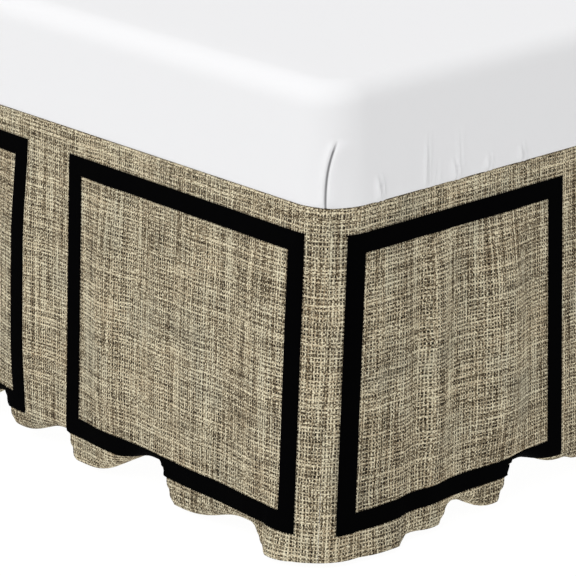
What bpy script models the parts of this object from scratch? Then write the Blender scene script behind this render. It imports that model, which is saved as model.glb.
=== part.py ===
"""A bed skirt on a plain full-size bed.

The skirt's deck lies between the foundation and the mattress, and carries three drops: one
across the foot and one down each long side, seamed to each other at the two foot corners. Each
drop hangs straight down the foundation's side and ripples below it. Mitred tape frames are sewn
on the drops. The head side of the bed has no drop.

Metres, +Z up. The foot of the bed faces -Y and the floor is Z = 0. The origin is on the floor,
under the middle of the whole object.
"""

from collections import namedtuple
from math import cos, exp, pi, radians, sin

import bmesh
import bpy
from mathutils import Vector

# The bed, a standard full size, and the height of what it is made of.
BED_WIDTH = 1.372
BED_LENGTH = 1.905
CORNER_RADIUS = 0.050
HEM_CLEARANCE = 0.008
SKIRT_DROP = 0.381
LEG_HEIGHT = 0.178
MATTRESS_THICKNESS = 0.125

# The cloths. The gaps at the foot corners' seams and under the tape are the widest, because they
# narrow to about the piece gap where the lip ends and where the cloth bends.
PIECE_GAP = 0.0003
SEAM_GAP = 0.0008
TAPE_GAP = 0.0005
DROP_CLOTH = 0.0015
TAPE_CLOTH = 0.0010
DECK_CLOTH = 0.0012
SHEET_CLOTH = 0.0010
EDGE_CLEARANCE = 0.002

# The drops: how they lie over the foundation's edge, flare, and turn under in the hem's valleys.
# Such a turn takes a short length of the cloth, which below it runs on under the bed. A crest
# kicks out over the last of its fall. The foot drop leans out and draws the side drops along with
# it by the corner. The side drops sway back beyond their first frame, and hang plumb further on.
EDGE_BEND = 0.003
LIP_WIDTH = 0.018
FOOT_FLARE = 0.019
SWAY_HALF_WAVE = 0.360
SWAY_FADE = 0.600
TURN = radians(84)
TURN_LENGTH = 0.024
KICK_HEIGHT = 0.120

# The tape frames. Each wall is shared out between them, and they stop short of the hem.
TAPE_WIDTH = 0.021
FRAME_TOP = 0.028
FRAME_ABOVE_HEM = 0.030
FRAME_GAP = 0.076
FOOT_FRAMES = 3
SIDE_FRAMES = 5
SIDE_FIRST_MARGIN = 0.028

# The mesh of a drop: how far apart its columns are, how near one may sit to a frame's edge, and how
# far above the hem the ripples get rows of their own.
COLUMN_SPACING = 0.040
COLUMN_SNAP = 0.010
CORNER_COLUMNS = 3
KICK_ROWS = (0.085, 0.062)
TAPE_MIDDLE_ROW = 0.040
HEM_ROWS = (0.020, 0.010, 0.0)

# What stands on the floor.
LEG_RADIUS = 0.025
LEG_FOOT_RADIUS = 0.020
LEG_SIDES = 16
LEG_INSET = 0.150
LEGS_ALONG = 3
BLOCK_CORNER_STEPS = 4
FOUNDATION_EDGE = 0.006
FOUNDATION_EDGE_STEPS = 2
HEAD_CORNER_RADIUS = 0.015
TIGHTEST_CORNER = 0.004
MATTRESS_LOWER_EDGE = 0.006
MATTRESS_UPPER_EDGE = 0.026
MATTRESS_EDGE_STEPS = 3
SHEET_TUCK = 0.070

# A row for each crest and valley of the hem, in millimetres: how far it is from the foot corner,
# and how much of the cloth has turned under there. A crest that kicks out instead has its reach,
# with a minus sign.
Fold = namedtuple("Fold", "along tuck")
FOOT_FOLDS = (
    Fold(11, 8),
    Fold(66, -9),
    Fold(111, 33),
    Fold(229, 9),
    Fold(262, 57),
    Fold(402, 6),
    Fold(426, 42),
    Fold(517, 21),
    Fold(541, 56),
    Fold(658, -5),
    Fold(745, 40),
    Fold(811, 8),
    Fold(850, 46),
    Fold(930, -4),
    Fold(972, 52),
    Fold(1060, 6),
    Fold(1104, 44),
    Fold(1180, -3),
    Fold(1240, 38),
    Fold(1304, -10),
    Fold(1361, 8),
)
SIDE_FOLDS = (
    Fold(11, 8),
    Fold(100, -8),
    Fold(125, 14),
    Fold(157, 8),
    Fold(181, 33),
    Fold(236, 10),
    Fold(261, 57),
    Fold(345, 34),
    Fold(369, 28),
    Fold(440, -3),
    Fold(577, 38),
    Fold(650, 2),
    Fold(692, 50),
    Fold(790, 10),
    Fold(826, 40),
    Fold(890, -6),
    Fold(934, 52),
    Fold(1030, 6),
    Fold(1066, 44),
    Fold(1150, -4),
    Fold(1200, 54),
    Fold(1300, 8),
    Fold(1340, 38),
    Fold(1430, -4),
    Fold(1482, 55),
    Fold(1580, 6),
    Fold(1624, 42),
    Fold(1716, -9),
    Fold(1770, 46),
    Fold(1850, 4),
    Fold(1905, 8),
)

# Worked out from the sizes above.
SKIRT_TOP = HEM_CLEARANCE + SKIRT_DROP
FALL = SKIRT_DROP - EDGE_BEND
FOUNDATION_TOP = SKIRT_TOP - DROP_CLOTH - PIECE_GAP
FOUNDATION_INSET = DROP_CLOTH + EDGE_CLEARANCE
MATTRESS_BOTTOM = SKIRT_TOP + 2 * PIECE_GAP + SHEET_CLOTH
SEAM_ALONG = CORNER_RADIUS * (1 - pi / 4)


def hang(tuck, fallen):
    """How far in and how far down the cloth has come, where so much of it turns under."""
    if tuck <= 0:
        kicked = max(0.0, 1 - (FALL - fallen) / KICK_HEIGHT)
        return tuck * kicked**3, fallen
    turned = fallen - (FALL - tuck)
    if turned <= 0:
        return 0.0, fallen
    radius = TURN_LENGTH / TURN
    angle = min(turned, TURN_LENGTH) / radius
    flat = max(0.0, turned - TURN_LENGTH)
    inward = radius * (1 - cos(angle)) + flat * sin(TURN)
    down = FALL - tuck + radius * sin(angle) + flat * cos(TURN)
    return inward, down


# The widest crest of the foot decides how far the object reaches past the bed, and so where the
# bed stands about the origin.
FOOT_REACH = FOOT_FLARE - min(fold.tuck for fold in FOOT_FOLDS) / 1000
FOOT_Y = (FOOT_REACH - BED_LENGTH) / 2
HEAD_Y = FOOT_Y + BED_LENGTH


def ease(part):
    """From 0 to 1, level at both ends and steep between them."""
    return part**3 * (10 - 15 * part + 6 * part * part)


def tuck_at(folds, along):
    """How much of the cloth has turned under at a place along its wall."""
    place = along * 1000
    before = folds[0]
    for after in folds[1:]:
        if place < after.along:
            part = max(0.0, (place - before.along) / (after.along - before.along))
            return (before.tuck + (after.tuck - before.tuck) * ease(part)) / 1000
        before = after
    return before.tuck / 1000


# A side of the bed: the corner where it starts, the ways along it and out of it, and its folds.
# A side rounds the corner where it starts, and the foot rounds the one where it ends too.
Wall = namedtuple("Wall", "name length start along out rounds_end folds frame_starts frame_width")


def foot_wall():
    pitch = BED_WIDTH / FOOT_FRAMES
    starts = [pitch * index + FRAME_GAP / 2 for index in range(FOOT_FRAMES)]
    return Wall(
        "foot", BED_WIDTH, Vector((BED_WIDTH / 2, FOOT_Y, 0)), Vector((-1, 0, 0)),
        Vector((0, -1, 0)), True, FOOT_FOLDS, starts, pitch - FRAME_GAP,
    )


def side_wall(name, side, folds):
    pitch = BED_LENGTH / SIDE_FRAMES
    starts = [pitch * index + SIDE_FIRST_MARGIN for index in range(SIDE_FRAMES)]
    return Wall(
        name, BED_LENGTH, Vector((side * BED_WIDTH / 2, FOOT_Y, 0)), Vector((0, 1, 0)),
        Vector((side, 0, 0)), False, folds, starts, pitch - FRAME_GAP,
    )


def around(wall, along):
    """The place on the bed's rounded outline, and the way out of it there."""
    from_end = wall.length - along
    near = along if along < CORNER_RADIUS or not wall.rounds_end else from_end
    if near >= CORNER_RADIUS:
        return wall.start + wall.along * along, wall.out
    angle = (CORNER_RADIUS - near) / CORNER_RADIUS
    way = wall.along if near is along else -wall.along
    corner = wall.start if near is along else wall.start + wall.along * wall.length
    centre = corner + (way - wall.out) * CORNER_RADIUS
    out = wall.out * cos(angle) - way * sin(angle)
    return centre + out * CORNER_RADIUS, out


def sway(from_foot):
    """The share of the foot's flare with which the hem is drawn towards the foot."""
    return cos(pi * from_foot / SWAY_HALF_WAVE) * exp(-((from_foot / SWAY_FADE) ** 2))


def cloth_point(wall, along, fallen):
    """A point of the drop's face: how far along its wall, and how far down from the bend."""
    place, out = around(wall, along)
    if fallen <= 0:
        over_edge = min(fallen, -EDGE_BEND)
        bend = 1 + max(fallen, -EDGE_BEND) / EDGE_BEND
        height = SKIRT_TOP - EDGE_BEND * bend
        reach = over_edge + EDGE_BEND * bend
        return place + out * reach + Vector((0, 0, height))
    inward, down = hang(tuck_at(wall.folds, along), fallen)
    point = place - out * inward + Vector((0, 0, SKIRT_TOP - EDGE_BEND - down))
    point.y -= FOOT_FLARE * (fallen / FALL) * sway(place.y - FOOT_Y)
    return point


def frame_edges(wall):
    """Where the tape frames' outer and inner edges are along a wall."""
    edges = []
    for start in wall.frame_starts:
        end = start + wall.frame_width
        edges += [start, start + TAPE_WIDTH, end - TAPE_WIDTH, end]
    return edges


def drop_columns(wall):
    """The places along a wall where the drop's mesh has a column, between its two ends."""
    places = [fold.along / 1000 for fold in wall.folds]
    first = SEAM_ALONG + SEAM_GAP / 2
    last = wall.length - first if wall.rounds_end else wall.length
    columns = []
    for before, after in zip(places, places[1:]):
        count = max(2, round((after - before) / COLUMN_SPACING))
        columns += [before + (after - before) * index / count for index in range(count)]
    edges = frame_edges(wall)
    arc = CORNER_RADIUS - SEAM_ALONG
    edges += [SEAM_ALONG + arc * part / CORNER_COLUMNS for part in range(1, CORNER_COLUMNS + 1)]
    if wall.rounds_end:
        edges += [wall.length - edge for edge in edges[-CORNER_COLUMNS:]]
    kept = [
        place for place in columns
        if all(abs(place - edge) > COLUMN_SNAP for edge in edges + [first, last])
    ]
    return sorted(kept + edges + [first, last])


TAPE_ROWS = (
    FRAME_TOP - EDGE_BEND,
    FRAME_TOP - EDGE_BEND + TAPE_WIDTH,
    FALL - FRAME_ABOVE_HEM - TAPE_WIDTH,
    FALL - FRAME_ABOVE_HEM,
)
DROP_ROWS = (
    -LIP_WIDTH,
    -EDGE_BEND,
    0.0,
    *TAPE_ROWS[:2],
    *(FALL - height for height in KICK_ROWS),
    TAPE_ROWS[2],
    FALL - TAPE_MIDDLE_ROW,
    TAPE_ROWS[3],
    *(FALL - height for height in HEM_ROWS),
)


def cloth_colour(name, colour, roughness):
    material = bpy.data.materials.new(name)
    material.use_nodes = True
    shader = material.node_tree.nodes["Principled BSDF"]
    shader.inputs["Base Color"].default_value = (*colour, 1.0)
    shader.inputs["Roughness"].default_value = roughness
    shader.inputs["Metallic"].default_value = 0.0
    return material


def add_object(name, bm, material):
    bmesh.ops.recalc_face_normals(bm, faces=bm.faces[:])
    mesh = bpy.data.meshes.new(name)
    bm.to_mesh(mesh)
    bm.free()
    mesh.materials.append(material)
    obj = bpy.data.objects.new(name, mesh)
    bpy.context.scene.collection.objects.link(obj)
    return obj


def add_cloth(name, wall, raised, thickness, material, covers=None):
    """A piece of cloth that follows a wall's drop, raised above its face or let into it.

    covers says whether the piece has the cloth at a place along the wall and down its fall. Every
    piece is cut from the same grid, so that its facets lie parallel to those of the drop.
    """
    columns = drop_columns(wall)
    across = len(columns)
    bm = bmesh.new()
    bmesh.ops.create_grid(bm, x_segments=across - 1, y_segments=len(DROP_ROWS) - 1, size=1)
    for vert in bm.verts:
        row, column = divmod(vert.index, across)
        vert.co = cloth_point(wall, columns[column], DROP_ROWS[row])
    if wall.along.cross(Vector((0, 0, -1))).dot(wall.out) < 0:
        bmesh.ops.reverse_faces(bm, faces=bm.faces[:])
    bmesh.ops.triangulate(bm, faces=bm.faces[:], quad_method="FIXED")
    bm.normal_update()
    outwards = bm.verts.layers.float_vector.new("outwards")
    for vert in bm.verts:
        vert[outwards] = vert.normal * vert.calc_shell_factor()
    if covers:
        bare = []
        for face in bm.faces:
            column = min(vert.index % across for vert in face.verts)
            row = min(vert.index // across for vert in face.verts)
            along = (columns[column] + columns[column + 1]) / 2
            fallen = (DROP_ROWS[row] + DROP_ROWS[row + 1]) / 2
            if not covers(along, fallen):
                bare.append(face)
        bmesh.ops.delete(bm, geom=bare, context="FACES")
    for vert in bm.verts:
        vert.co += vert[outwards] * raised
    other_face = bmesh.ops.extrude_face_region(bm, geom=bm.faces[:], use_keep_orig=True)
    for vert in other_face["geom"]:
        if isinstance(vert, bmesh.types.BMVert):
            vert.co += vert[outwards] * thickness
    return add_object(name, bm, material)


def add_frame(wall, number, material):
    """A mitred frame of tape on one panel of a wall."""
    start = wall.frame_starts[number]
    end = start + wall.frame_width

    def in_tape(along, fallen):
        from_edge = min(along - start, end - along, fallen - TAPE_ROWS[0], TAPE_ROWS[-1] - fallen)
        return 0 < from_edge < TAPE_WIDTH

    name = f"tape_{wall.name}_{number + 1}"
    add_cloth(name, wall, TAPE_GAP, TAPE_CLOTH, material, covers=in_tape)


def outline(inset, radius, height, head_inset=None, head_radius=None):
    """The corners of a rounded rectangle, inset from the bed's outline.

    Its head end may have an inset and corners of its own.
    """
    ends = (
        (HEAD_Y - (inset if head_inset is None else head_inset), -1,
         radius if head_radius is None else head_radius),
        (FOOT_Y + inset, 1, radius),
    )
    points = []
    for quarter in range(4):
        side_x = 1 if quarter in (0, 3) else -1
        end_y, inward, corner = ends[quarter // 2]
        for part in range(BLOCK_CORNER_STEPS + 1):
            angle = (quarter + part / BLOCK_CORNER_STEPS) * pi / 2
            points.append(Vector((
                side_x * (BED_WIDTH / 2 - inset - corner) + corner * cos(angle),
                end_y + inward * corner + corner * sin(angle),
                height,
            )))
    return points


def add_loop(bm, points):
    verts = [bm.verts.new(point) for point in points]
    return [bm.edges.new(pair) for pair in zip(verts, verts[1:] + verts[:1])]


def stack(bm, loops):
    """Joins one outline to the next, and returns the edges of the first and the last."""
    rings = [add_loop(bm, points) for points in loops]
    for lower, upper in zip(rings, rings[1:]):
        bmesh.ops.bridge_loops(bm, edges=lower + upper)
    return rings[0], rings[-1]


def rounded_profile(inset, bottom, top, lower_edge, upper_edge, steps):
    """(inset, height) pairs up the side of a block with rounded lower and upper edges."""
    profile = []
    for part in range(steps + 1):
        angle = part / steps * pi / 2
        profile.append((
            inset + lower_edge * (1 - sin(angle)), bottom + lower_edge * (1 - cos(angle))
        ))
    for part in range(steps + 1):
        angle = part / steps * pi / 2
        profile.append((
            inset + upper_edge * (1 - cos(angle)), top - upper_edge * (1 - sin(angle))
        ))
    return profile


def profile_loops(profile, square_head=False):
    """An outline for each (inset, height) pair, whose corners stay concentric with the bed's."""
    loops = []
    for inset, height in profile:
        radius = max(CORNER_RADIUS - inset, TIGHTEST_CORNER)
        head = max(HEAD_CORNER_RADIUS - inset, TIGHTEST_CORNER) if square_head else None
        loops.append(outline(inset, radius, height, head_radius=head))
    return loops


def add_block(name, inset, heights, edges, steps, material, square_head=False):
    """A plain block from its lowest to its highest point, with rounded lower and upper edges."""
    bm = bmesh.new()
    profile = rounded_profile(inset, *heights, *edges, steps)
    ends = stack(bm, profile_loops(profile, square_head))
    for ring in ends:
        bmesh.ops.contextual_create(bm, geom=ring)
    return add_object(name, bm, material)


def add_deck(material):
    """The platform cloth, which meets the drops' lips edge to edge and reaches the bed's head.

    A second gap leaves room for the lips' facets at the corners.
    """
    inset = LIP_WIDTH + 2 * PIECE_GAP
    bottom = FOUNDATION_TOP + PIECE_GAP
    bm = bmesh.new()
    ends = stack(bm, [
        outline(inset, CORNER_RADIUS - inset, height, FOUNDATION_INSET, TIGHTEST_CORNER)
        for height in (bottom, bottom + DECK_CLOTH)
    ])
    for ring in ends:
        bmesh.ops.contextual_create(bm, geom=ring)
    return add_object("deck", bm, material)


def add_fitted_sheet(material):
    """The sheet is a shell over the mattress, whose elastic edge is tucked under it."""
    bottom = SKIRT_TOP + PIECE_GAP
    top = MATTRESS_BOTTOM + MATTRESS_THICKNESS + PIECE_GAP + SHEET_CLOTH
    outer = rounded_profile(
        0.0, bottom, top, MATTRESS_LOWER_EDGE, MATTRESS_UPPER_EDGE, MATTRESS_EDGE_STEPS
    )
    inner = rounded_profile(
        SHEET_CLOTH, bottom + SHEET_CLOTH, top - SHEET_CLOTH,
        MATTRESS_LOWER_EDGE - SHEET_CLOTH, MATTRESS_UPPER_EDGE - SHEET_CLOTH, MATTRESS_EDGE_STEPS,
    )
    bm = bmesh.new()
    tucked = [(SHEET_TUCK, bottom)] + outer
    lining = [(SHEET_TUCK, bottom + SHEET_CLOTH)] + inner
    outside_mouth, outside_top = stack(bm, profile_loops(tucked))
    inside_mouth, inside_top = stack(bm, profile_loops(lining))
    bmesh.ops.contextual_create(bm, geom=outside_top)
    bmesh.ops.contextual_create(bm, geom=inside_top)
    bmesh.ops.bridge_loops(bm, edges=outside_mouth + inside_mouth)
    return add_object("fitted_sheet", bm, material)


def add_leg(name, x, y, material):
    bm = bmesh.new()
    height = LEG_HEIGHT - PIECE_GAP
    bmesh.ops.create_cone(
        bm, cap_ends=True, segments=LEG_SIDES, radius1=LEG_FOOT_RADIUS, radius2=LEG_RADIUS,
        depth=height,
    )
    leg = add_object(name, bm, material)
    leg.location = (x, y, height / 2)
    leg.data.shade_smooth()
    leg.data.set_sharp_from_angle(angle=radians(40))
    return leg


def add_legs(material):
    run = BED_LENGTH - 2 * LEG_INSET
    for side, word in ((-1, "left"), (1, "right")):
        for number in range(LEGS_ALONG):
            x = side * (BED_WIDTH / 2 - LEG_INSET)
            y = FOOT_Y + LEG_INSET + run * number / (LEGS_ALONG - 1)
            add_leg(f"leg_{word}_{number + 1}", x, y, material)


def main():
    for obj in list(bpy.data.objects):
        bpy.data.objects.remove(obj)
    tweed = cloth_colour("tweed", (0.46, 0.38, 0.26), 0.9)
    tape = cloth_colour("tape", (0.008, 0.008, 0.008), 0.75)
    lining = cloth_colour("deck_cloth", (0.78, 0.76, 0.71), 0.9)
    cotton = cloth_colour("sheet_cotton", (0.88, 0.88, 0.89), 0.8)
    ticking = cloth_colour("ticking", (0.80, 0.79, 0.76), 0.85)
    leg_wood = cloth_colour("leg_wood", (0.09, 0.05, 0.03), 0.5)

    away = [fold._replace(along=BED_LENGTH * 1000 - fold.along) for fold in SIDE_FOLDS[::-1]]
    left_folds = [SIDE_FOLDS[0], *away[1:-1], SIDE_FOLDS[-1]]
    walls = (foot_wall(), side_wall("right", 1, SIDE_FOLDS), side_wall("left", -1, left_folds))
    for wall in walls:
        add_cloth(f"drop_{wall.name}", wall, 0.0, -DROP_CLOTH, tweed)
        for number in range(len(wall.frame_starts)):
            add_frame(wall, number, tape)
    add_deck(lining)
    add_block(
        "foundation", FOUNDATION_INSET, (LEG_HEIGHT, FOUNDATION_TOP),
        (FOUNDATION_EDGE, FOUNDATION_EDGE), FOUNDATION_EDGE_STEPS, ticking, square_head=True,
    )
    under_sheet = SHEET_CLOTH + PIECE_GAP
    add_block(
        "mattress", under_sheet, (MATTRESS_BOTTOM, MATTRESS_BOTTOM + MATTRESS_THICKNESS),
        (MATTRESS_LOWER_EDGE - under_sheet, MATTRESS_UPPER_EDGE - under_sheet),
        MATTRESS_EDGE_STEPS, ticking,
    )
    add_fitted_sheet(cotton)
    add_legs(leg_wood)


main()
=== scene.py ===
"""A bed skirt in beige tweed with black tape frames, on a plain full-size bed under a white sheet."""

from collections import namedtuple
from math import cos, exp, pi, radians, sin

import bmesh
import bpy
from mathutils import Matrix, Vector


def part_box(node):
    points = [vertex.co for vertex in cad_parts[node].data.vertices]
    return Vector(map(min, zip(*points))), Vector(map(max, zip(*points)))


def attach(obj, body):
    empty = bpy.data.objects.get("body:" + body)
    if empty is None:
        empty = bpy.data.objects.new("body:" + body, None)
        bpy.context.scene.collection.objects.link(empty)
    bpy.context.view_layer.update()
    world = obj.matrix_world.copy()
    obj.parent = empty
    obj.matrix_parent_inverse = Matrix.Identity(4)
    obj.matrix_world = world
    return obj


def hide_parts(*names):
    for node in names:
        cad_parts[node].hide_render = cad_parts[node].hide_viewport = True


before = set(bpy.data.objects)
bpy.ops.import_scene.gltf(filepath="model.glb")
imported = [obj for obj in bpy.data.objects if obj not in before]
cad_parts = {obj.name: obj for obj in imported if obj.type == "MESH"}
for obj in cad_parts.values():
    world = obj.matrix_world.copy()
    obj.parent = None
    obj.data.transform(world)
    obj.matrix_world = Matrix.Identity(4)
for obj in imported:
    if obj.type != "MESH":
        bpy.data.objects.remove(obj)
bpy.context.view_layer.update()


# ---------------------------------------------------------------------------------------------
# The feet. Six turned hardwood pegs, stained dark and sealed with a satin lacquer, screwed up
# into the foundation. They are the frame's own nodes, so only their wood is made here.
# ---------------------------------------------------------------------------------------------

STAIN_DARK = (0.022, 0.011, 0.006, 1)
STAIN_LIGHT = (0.085, 0.042, 0.020, 1)
GRAIN_ALONG = 3.0
GRAIN_ACROSS = 60.0
GRAIN_DARKEST = 0.30
GRAIN_LIGHTEST = 0.72
GRAIN_RELIEF = 0.0003


def new_material(name):
    """A material's node tree and its Principled shader."""
    material = bpy.data.materials.new(name)
    material.use_nodes = True
    return material, material.node_tree, material.node_tree.nodes["Principled BSDF"]


def add_node(tree, kind, inputs=None, **settings):
    """A node with its settings, whose inputs are each joined to a socket or given a value."""
    node = tree.nodes.new(kind)
    for name, value in settings.items():
        setattr(node, name, value)
    for socket, value in (inputs or {}).items():
        if isinstance(value, bpy.types.NodeSocket):
            tree.links.new(value, node.inputs[socket])
        else:
            node.inputs[socket].default_value = value
    return node


def add_noise(tree, place, scale, detail=2.0):
    """Soft noise at a place, from 0 to 1."""
    sockets = {"Vector": place, "Scale": scale, "Detail": detail}
    return add_node(tree, "ShaderNodeTexNoise", sockets).outputs["Fac"]


def stretch(tree, place, factors):
    """A place whose axes are scaled apart, so that a pattern on it is drawn out."""
    return add_node(
        tree, "ShaderNodeVectorMath", {0: place, 1: factors}, operation="MULTIPLY"
    ).outputs[0]


def colour_between(tree, share, stops):
    """A colour ramp of (place, colour) stops."""
    node = add_node(tree, "ShaderNodeValToRGB", {"Fac": share})
    ramp = node.color_ramp
    for index, (place, colour) in enumerate(stops):
        stop = ramp.elements[index] if index < 2 else ramp.elements.new(place)
        stop.position = place
        stop.color = colour
    return node.outputs["Color"]


def add_bump(tree, height, distance, strength=1.0):
    sockets = {"Height": height, "Distance": distance, "Strength": strength}
    return add_node(tree, "ShaderNodeBump", sockets).outputs["Normal"]


leg_wood, tree, shader = new_material("leg_wood_finish")
own_place = add_node(tree, "ShaderNodeTexCoord").outputs["Object"]
grain_place = stretch(tree, own_place, (GRAIN_ACROSS, GRAIN_ACROSS, GRAIN_ALONG))
grain = add_noise(tree, grain_place, 1.0, detail=6.0)
stain = colour_between(
    tree, grain, [(GRAIN_DARKEST, STAIN_DARK), (GRAIN_LIGHTEST, STAIN_LIGHT)]
)
tree.links.new(stain, shader.inputs["Base Color"])
tree.links.new(add_bump(tree, grain, GRAIN_RELIEF), shader.inputs["Normal"])
shader.inputs["Roughness"].default_value = 0.42

for name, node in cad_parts.items():
    if name.startswith("leg_"):
        node.data.materials.clear()
        node.data.materials.append(leg_wood)


# ---------------------------------------------------------------------------------------------
# The foundation. A box of slats under off-white ticking, with a welt sewn round its upper and
# lower edges. Only its head end shows, between the side drops, above the feet.
# ---------------------------------------------------------------------------------------------

BED_LOW, BED_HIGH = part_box("fitted_sheet")
BED_WIDTH = BED_HIGH.x - BED_LOW.x
BED_LENGTH = BED_HIGH.y - BED_LOW.y
FOOT_Y, HEAD_Y = BED_LOW.y, BED_HIGH.y
CORNER_RADIUS = 0.050
HEAD_CORNER_RADIUS = 0.015
TIGHTEST_CORNER = 0.004
MERGED_WITHIN = 1e-6

# How far apart the columns of a skin round the bed are: on the corners, beside them on the long
# sides and on the ends, and in between.
RimSteps = namedtuple("RimSteps", "corner side_fine end_fine coarse reach")
COVER_RIM = RimSteps(corner=0.0080, side_fine=0.030, end_fine=0.030, coarse=0.060, reach=0.060)

FOUNDATION_LOW, FOUNDATION_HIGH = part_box("foundation")
FOUNDATION_INSET = FOUNDATION_LOW.y - FOOT_Y
WELT_RADIUS = 0.0035
WELT_PROUD = 0.0010
WELT_FROM_EDGE = 0.009
EDGE_ROUND = 0.006

TICKING_WHITE = (0.74, 0.72, 0.67, 1)
TICKING_STRIPE = (0.52, 0.53, 0.54, 1)
TICKING_REPEAT = 0.040
TICKING_STRIPE_SHARE = 0.12
TICKING_SHADE = (0.35, 0.34, 0.31, 1)
TICKING_THREAD = 0.0011

# A column of the mesh round the bed: which corner it belongs to (0 right foot, then against the
# clock seen from above), its share of that corner's turn, and of the straight run after it.
Spot = namedtuple("Spot", "corner turn run")


def rim_spots(steps):
    spots = []
    for corner in range(4):
        long_side = corner % 2 == 0
        straight = (BED_LENGTH if long_side else BED_WIDTH) - 2 * CORNER_RADIUS
        turns = round(CORNER_RADIUS * pi / 2 / steps.corner)
        spots += [Spot(corner, turn / turns, 0) for turn in range(turns)]
        fine_step = steps.side_fine if long_side else steps.end_fine
        fine = [fine_step * step for step in range(round(steps.reach / fine_step))]
        middle = straight - 2 * steps.reach
        count = round(middle / steps.coarse)
        coarse = [steps.reach + middle * step / count for step in range(count + 1)]
        places = fine + coarse + [straight - place for place in reversed(fine[1:])]
        spots += [Spot(corner, 1, place / straight) for place in places]
    return spots


def rim_point(spot, inset, radii):
    """A spot's place on an outline inset from the bed's, and the way out of it there."""
    signs = ((1, -1), (1, 1), (-1, 1), (-1, -1))

    def centre(corner):
        side, end = signs[corner % 4]
        radius = radii[corner % 4]
        return Vector((
            side * (BED_WIDTH / 2 - inset - radius),
            (HEAD_Y - inset - radius) if end > 0 else (FOOT_Y + inset + radius),
            0,
        )), radius

    angle = (spot.corner - 1 + spot.turn) * pi / 2
    out = Vector((cos(angle), sin(angle), 0))
    here, radius = centre(spot.corner)
    place = here + out * radius
    if spot.run:
        there, next_radius = centre(spot.corner + 1)
        place = place.lerp(there + out * next_radius, spot.run)
    return place, out


def around_the_bed(
    name, profile, steps, head_radius=CORNER_RADIUS, relief=None, dart=None, open_below=False
):
    """A skin round the bed, from a profile of (inset, height) pairs from its mouth to its middle.

    relief gives how far out a point stands, from its spot, its inset and its height. dart gives
    its place beside the nearest dart. The mouth is left open if the skin is open below.
    """
    spots = rim_spots(steps)
    bm = bmesh.new()
    bmesh.ops.create_grid(bm, x_segments=len(spots), y_segments=len(profile) - 1, size=1)
    uv = bm.loops.layers.uv.new("cloth")
    dart_uv = bm.loops.layers.uv.new("dart") if dart else None
    across = len(spots) + 1
    run = {}
    distance = 0.0
    last = None
    for column in range(across):
        place, _ = rim_point(spots[column % len(spots)], 0.0, [CORNER_RADIUS] * 4)
        distance += (place - last).length if last else 0.0
        last = place
        run[column] = distance
    climb = [0.0]
    for lower, upper in zip(profile, profile[1:]):
        climb.append(climb[-1] + (Vector(upper) - Vector(lower)).length)
    slopes = []
    for index in range(len(profile)):
        before, after = profile[max(0, index - 1)], profile[min(len(profile) - 1, index + 1)]
        way = (Vector(after) - Vector(before)).normalized()
        slopes.append((way.y, way.x))
    for face in bm.faces:
        for loop in face.loops:
            row, column = divmod(loop.vert.index, across)
            loop[uv].uv = (run[column], climb[row])
            if dart:
                loop[dart_uv].uv = dart(spots[column % len(spots)], profile[row][1])
    for vert in bm.verts:
        row, column = divmod(vert.index, across)
        spot = spots[column % len(spots)]
        inset, height = profile[row]
        radius = max(CORNER_RADIUS - inset, TIGHTEST_CORNER)
        head = max(head_radius - inset, TIGHTEST_CORNER)
        place, out = rim_point(spot, inset, (radius, head, head, radius))
        vert.co = place + Vector((0, 0, height))
        if relief:
            outward, upward = slopes[row]
            vert.co += (out * outward + Vector((0, 0, upward))) * relief(spot, inset, height)
    bmesh.ops.remove_doubles(bm, verts=bm.verts, dist=MERGED_WITHIN)
    middle = (profile[0][1] + profile[-1][1]) / 2
    ends = [
        edge for edge in bm.edges
        if edge.is_boundary and not (open_below and edge.verts[0].co.z < middle)
    ]
    bmesh.ops.holes_fill(bm, edges=ends, sides=0)
    bmesh.ops.recalc_face_normals(bm, faces=bm.faces[:])
    return add_piece(name, bm)


def add_piece(name, bm):
    mesh = bpy.data.meshes.new(name)
    bm.to_mesh(mesh)
    bm.free()
    piece = bpy.data.objects.new(name, mesh)
    bpy.context.scene.collection.objects.link(piece)
    mesh.shade_smooth()
    return piece


def arc(centre_inset, centre_height, radius, start, end, steps):
    """(inset, height) pairs along an arc; 0 degrees points inwards, 90 up and 180 outwards."""
    pairs = []
    for step in range(steps + 1):
        angle = radians(start + (end - start) * step / steps)
        pairs.append((
            centre_inset + radius * cos(angle), centre_height + radius * sin(angle)
        ))
    return pairs


FOUNDATION_IN = 0.30
FOUNDATION_ROW = 0.06
WELT_CLEAR = 0.02
WELT_ARC = (250, 110, 6)


def foundation_profile():
    low, high = FOUNDATION_LOW.z, FOUNDATION_HIGH.z
    side = FOUNDATION_INSET
    welt_inset = side + WELT_RADIUS - WELT_PROUD
    lower, upper = low + WELT_FROM_EDGE, high - WELT_FROM_EDGE
    rows = [(FOUNDATION_IN, low), (FOUNDATION_ROW, low)]
    rows += arc(side + EDGE_ROUND, low + EDGE_ROUND, EDGE_ROUND, 270, 180, 4)
    rows += arc(welt_inset, lower + WELT_RADIUS, WELT_RADIUS, *WELT_ARC)
    plain = upper - lower - 2 * WELT_CLEAR
    rows += [(side, lower + WELT_CLEAR + plain * step / 4) for step in range(5)]
    rows += arc(welt_inset, upper - WELT_RADIUS, WELT_RADIUS, *WELT_ARC)
    rows += arc(side + EDGE_ROUND, high - EDGE_ROUND, EDGE_ROUND, 180, 90, 4)
    rows += [(FOUNDATION_ROW, high), (FOUNDATION_IN, high)]
    return rows


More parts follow.
